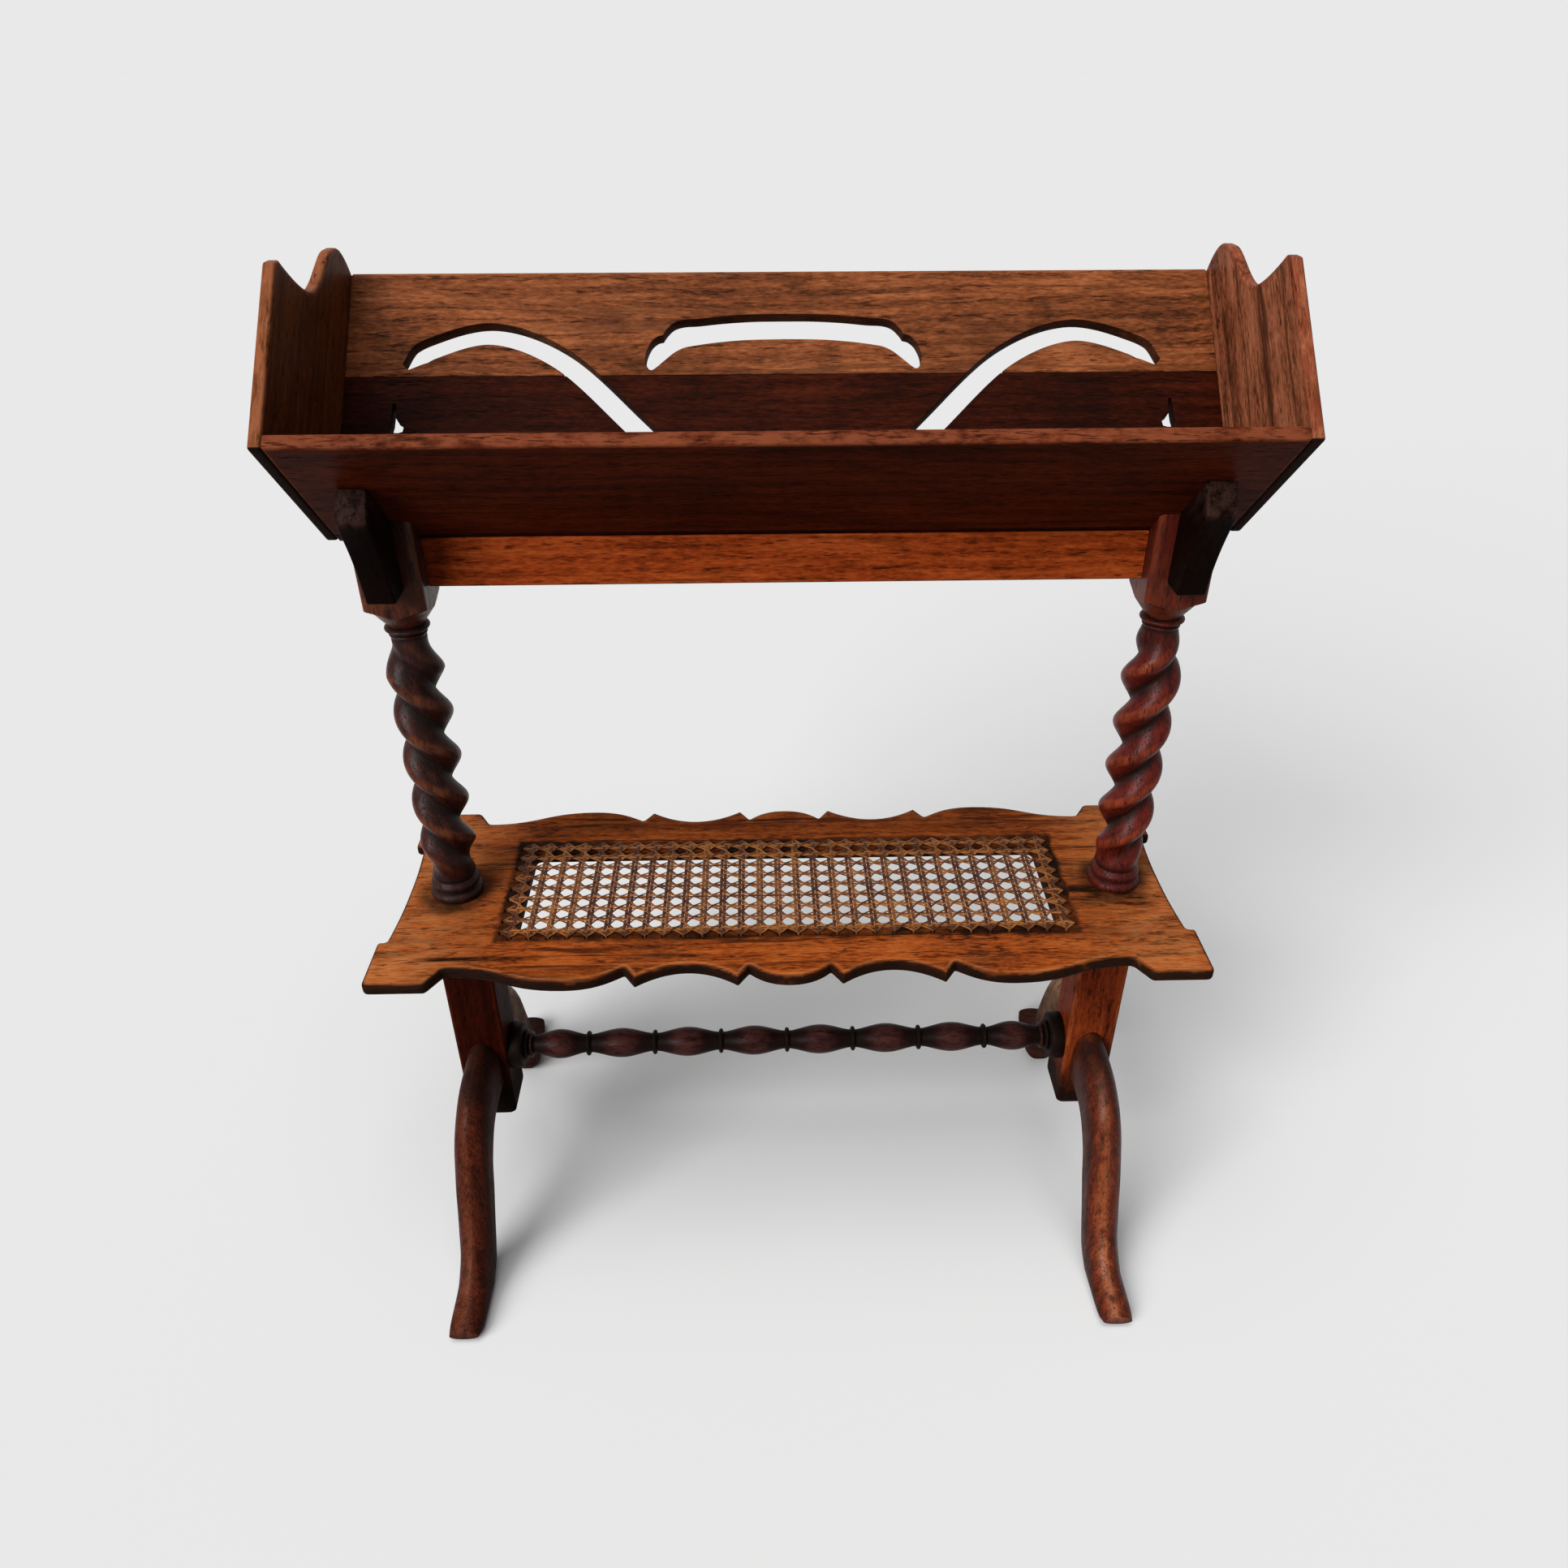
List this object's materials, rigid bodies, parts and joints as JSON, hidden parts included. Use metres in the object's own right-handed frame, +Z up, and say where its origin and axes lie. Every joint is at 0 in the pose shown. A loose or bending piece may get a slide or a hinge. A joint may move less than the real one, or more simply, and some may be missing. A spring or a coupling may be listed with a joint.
{
  "type": "book trough",
  "caption": "Free-standing oak book trough: a V-shaped trough with a fretted back on barley-twist columns, over a shaped shelf with a cane panel and sabre legs.",
  "frame": {"origin": "on the floor, midway between the feet, at the bottom centre of the bounding box", "axes": "+X along the trough to the viewer's right, +Y from the front to the back, +Z up"},
  "size_m": [0.6, 0.3492, 0.7655],
  "materials": {
    "oak_shelf": "waxed tawny oak",
    "oak_red": "waxed red-brown oak",
    "oak_dark": "waxed dark oak",
    "oak_dowel": "raw oak",
    "cane": "aged cane",
    "iron": "dull"
  },
  "bodies": {
    "root": {"shelf_board": "oak_shelf", "cane_panel": "cane", "column_left": "oak_dark", "column_right": "oak_dark", "lower_post_left": "oak_red", "lower_post_right": "oak_red", "leg_front_left": "oak_red", "leg_front_right": "oak_red", "leg_rear_left": "oak_red", "leg_rear_right": "oak_red", "leg_dowel_front_left_1": "oak_dowel", "leg_dowel_front_left_2": "oak_dowel", "leg_dowel_front_right_1": "oak_dowel", "leg_dowel_front_right_2": "oak_dowel", "leg_dowel_rear_left_1": "oak_dowel", "leg_dowel_rear_left_2": "oak_dowel", "leg_dowel_rear_right_1": "oak_dowel", "leg_dowel_rear_right_2": "oak_dowel", "stretcher": "oak_dark", "trough_front_board": "oak_red", "trough_back_lower": "oak_dark", "trough_back_upper": "oak_red", "trough_end_left": "oak_red", "trough_end_right": "oak_red", "end_pin_left_1": "iron", "end_pin_left_2": "iron", "end_pin_left_3": "iron", "end_pin_left_4": "iron", "end_pin_left_5": "iron", "end_pin_right_1": "iron", "end_pin_right_2": "iron", "end_pin_right_3": "iron", "end_pin_right_4": "iron", "end_pin_right_5": "iron", "trough_rail": "oak_shelf", "arm_front_left": "oak_dark", "arm_front_right": "oak_dark", "arm_rear_left": "oak_dark", "arm_rear_right": "oak_dark", "arm_dowel_front_left": "oak_dowel", "arm_dowel_front_right": "oak_dowel", "arm_dowel_rear_left": "oak_dowel", "arm_dowel_rear_right": "oak_dowel", "arm_screw_front_left": "iron", "arm_screw_front_right": "iron", "arm_screw_rear_left": "iron", "arm_screw_rear_right": "iron"}
  },
  "joints": []
}
